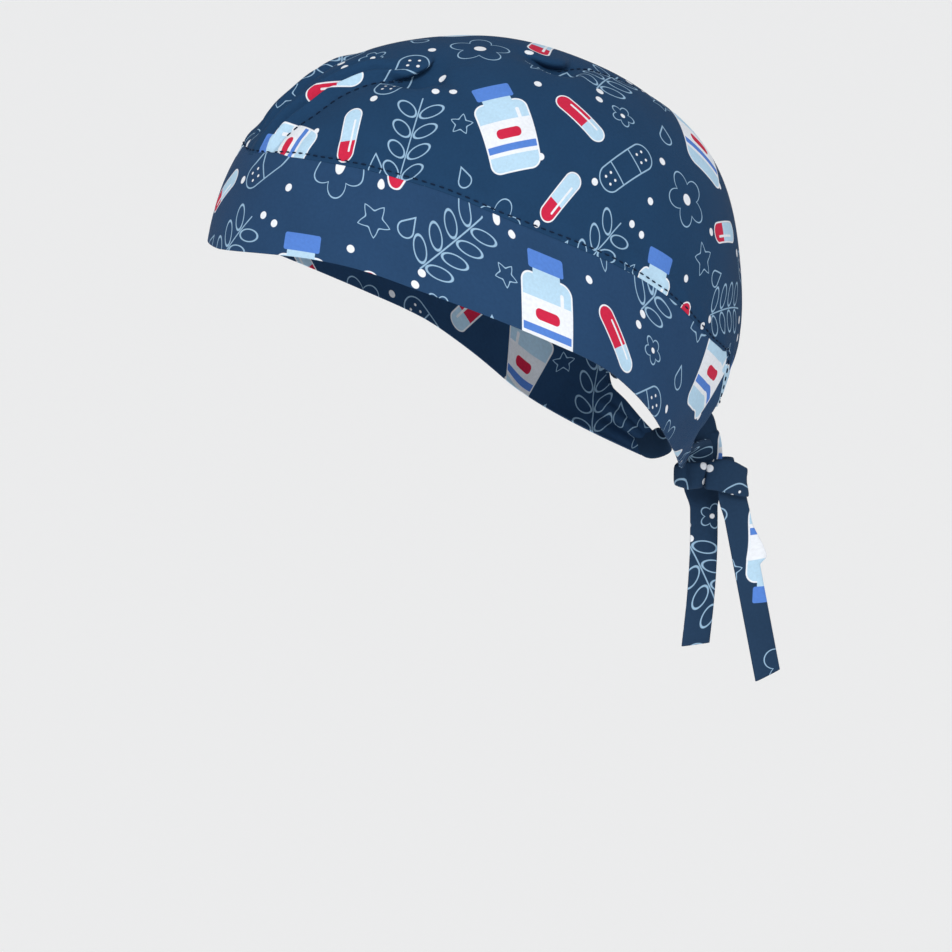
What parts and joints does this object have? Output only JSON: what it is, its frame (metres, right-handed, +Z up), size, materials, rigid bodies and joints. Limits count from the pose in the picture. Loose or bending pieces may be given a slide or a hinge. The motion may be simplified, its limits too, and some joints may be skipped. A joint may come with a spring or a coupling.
{
  "type": "bandana cap",
  "caption": "Close-fitting cloth cap with a darted dome crown on a wide sloping band, tied at the nape with two flat straps in a half knot, free ends hanging.",
  "frame": {"origin": "where the head sits, in the middle of the head opening, level with the band's lower edge at the side", "axes": "+Z up through the top of the crown, -Y the way the wearer faces, +X to the wearer's left"},
  "size_m": [0.158, 0.2176, 0.2383],
  "materials": {
    "crown_cloth": "printed woven cloth, matt with a faint sheen",
    "band_cloth": "printed woven cloth, doubled",
    "tie_cloth": "printed woven cloth, folded into a flat strap"
  },
  "bodies": {
    "root": {"crown": "crown_cloth", "band": "band_cloth", "tie_left": "tie_cloth", "tie_right": "tie_cloth"}
  },
  "joints": []
}
